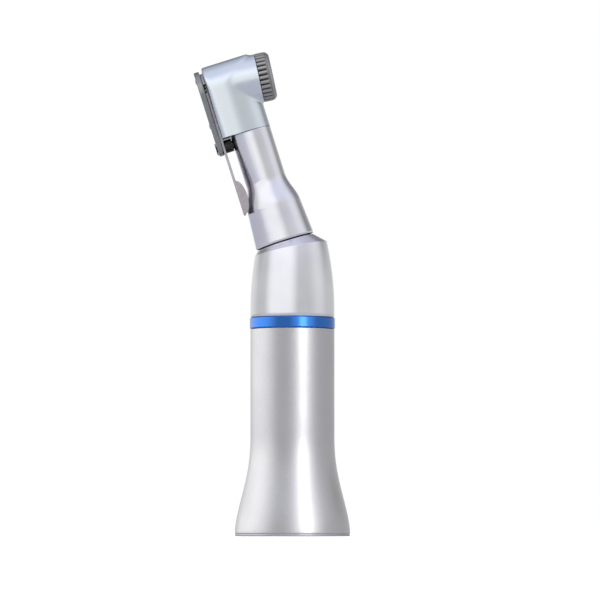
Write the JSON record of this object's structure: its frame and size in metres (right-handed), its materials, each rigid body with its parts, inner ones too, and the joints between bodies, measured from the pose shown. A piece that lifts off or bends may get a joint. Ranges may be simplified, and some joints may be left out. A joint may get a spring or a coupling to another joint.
{
  "type": "contra-angle dental handpiece",
  "caption": "Latch-type contra-angle dental handpiece: flared shank with a motor socket, bent neck, geared drive line, small head with ribbed cap and swing latch.",
  "frame": {"origin": "centre of the rear opening, on the handle axis, in the plane of the flared rim it can stand on", "axes": "+Z runs forward along the handle; the neck leans towards -X, so the bur side of the head looks along +X; Y is across, and the thumb tab is on the -Y side"},
  "size_m": [0.0291, 0.0214, 0.09],
  "materials": {
    "sheath_satin": "satin bead-blasted and plated",
    "ring_blue": "glossy blue",
    "housing_pearl": "glossy pearly nickel",
    "head_silver": "satin light plating",
    "cap_dark": "dark ribbed steel",
    "latch_steel": "grey polished sheet steel",
    "bright_steel": "ground",
    "hard_steel": "hardened and ground",
    "spring_steel": "drawn wire and strip",
    "brass": "turned",
    "rubber": "moulded"
  },
  "bodies": {
    "shank_and_head": {"rear_sheath": "sheath_satin", "marker_ring": "ring_blue", "inner_tube": "bright_steel", "socket_o_ring": "rubber", "front_housing": "housing_pearl", "bearing_carrier": "bright_steel", "bearing_nut": "brass", "rear_main_bearing_outer_ring": "hard_steel", "front_main_bearing_outer_ring": "hard_steel", "neck_sheath": "housing_pearl", "neck_o_ring": "rubber", "neck_nut": "brass", "neck_bearing_outer_ring": "hard_steel", "neck_bush": "brass", "head_housing": "head_silver", "head_cap": "cap_dark", "preload_washer": "spring_steel", "front_spindle_bearing_outer_ring": "hard_steel", "rear_spindle_bearing_outer_ring": "hard_steel", "latch_post": "cap_dark", "latch_pivot_screw": "cap_dark"},
    "main_shaft_line": {"main_shaft": "bright_steel", "main_crown_gear": "hard_steel", "bearing_spacer": "bright_steel", "rear_main_bearing_inner_ring": "hard_steel", "front_main_bearing_inner_ring": "hard_steel", "dog_pin": "bright_steel", "dog_spring": "spring_steel"},
    "drive_dog": {"drive_dog": "hard_steel"},
    "rear_main_cage": {"rear_main_bearing_ball_cage": "brass"},
    "front_main_cage": {"front_main_bearing_ball_cage": "brass"},
    "neck_shaft_line": {"neck_shaft": "bright_steel", "neck_crown_gear": "hard_steel", "neck_bevel_pinion": "hard_steel", "neck_bearing_inner_ring": "hard_steel"},
    "neck_cage": {"neck_bearing_ball_cage": "brass"},
    "spindle_line": {"spindle": "bright_steel", "spindle_bevel_gear": "hard_steel", "front_spindle_bearing_inner_ring": "hard_steel", "rear_spindle_bearing_inner_ring": "hard_steel"},
    "front_spindle_cage": {"front_spindle_bearing_ball_cage": "brass"},
    "rear_spindle_cage": {"rear_spindle_bearing_ball_cage": "brass"},
    "latch": {"latch_plate": "latch_steel", "latch_lever": "latch_steel", "latch_rivet_1": "bright_steel", "latch_rivet_2": "bright_steel"}
  },
  "joints": [
    {"name": "main_shaft_spin", "type": "hinge", "parent": "shank_and_head", "child": "main_shaft_line", "pos_m": [0, 0, 0.03], "axis": [0, 0, 1], "continuous": true},
    {"name": "drive_dog_slide", "type": "slide", "parent": "main_shaft_line", "child": "drive_dog", "axis": [0, 0, 1], "range_m": [0, 0.0012], "stiffness_N_per_m": 600, "springref_m": -0.0006, "deforming": ["dog_spring"]},
    {"name": "rear_main_cage_orbit", "type": "hinge", "parent": "shank_and_head", "child": "rear_main_cage", "pos_m": [0, 0, 0.03], "axis": [0, 0, 1], "continuous": true},
    {"name": "front_main_cage_orbit", "type": "hinge", "parent": "shank_and_head", "child": "front_main_cage", "pos_m": [0, 0, 0.0425], "axis": [0, 0, 1], "continuous": true},
    {"name": "neck_shaft_spin", "type": "hinge", "parent": "shank_and_head", "child": "neck_shaft_line", "pos_m": [0, 0, 0.0503], "axis": [-0.3007, 0, 0.9537], "continuous": true},
    {"name": "neck_cage_orbit", "type": "hinge", "parent": "shank_and_head", "child": "neck_cage", "pos_m": [0, 0, 0.0503], "axis": [-0.3007, 0, 0.9537], "continuous": true},
    {"name": "spindle_spin", "type": "hinge", "parent": "shank_and_head", "child": "spindle_line", "pos_m": [-0.01067, 0, 0.08413], "axis": [0.9763, 0, 0.2164], "continuous": true},
    {"name": "front_spindle_cage_orbit", "type": "hinge", "parent": "shank_and_head", "child": "front_spindle_cage", "pos_m": [-0.01067, 0, 0.08413], "axis": [0.9763, 0, 0.2164], "continuous": true},
    {"name": "rear_spindle_cage_orbit", "type": "hinge", "parent": "shank_and_head", "child": "rear_spindle_cage", "pos_m": [-0.01067, 0, 0.08413], "axis": [0.9763, 0, 0.2164], "continuous": true},
    {"name": "latch_swing", "type": "hinge", "parent": "shank_and_head", "child": "latch", "pos_m": [-0.01316, 0, 0.07207], "axis": [-0.9537, 0, -0.3007], "range_deg": [0, 40]}
  ],
  "couplings": [
    {"joint": "neck_shaft_spin", "follows": "main_shaft_spin", "ratio": 1},
    {"joint": "spindle_spin", "follows": "main_shaft_spin", "ratio": 1},
    {"joint": "rear_main_cage_orbit", "follows": "main_shaft_spin", "ratio": 0.416},
    {"joint": "front_main_cage_orbit", "follows": "main_shaft_spin", "ratio": 0.416},
    {"joint": "neck_cage_orbit", "follows": "main_shaft_spin", "ratio": 0.406},
    {"joint": "front_spindle_cage_orbit", "follows": "main_shaft_spin", "ratio": 0.423},
    {"joint": "rear_spindle_cage_orbit", "follows": "main_shaft_spin", "ratio": 0.444}
  ]
}
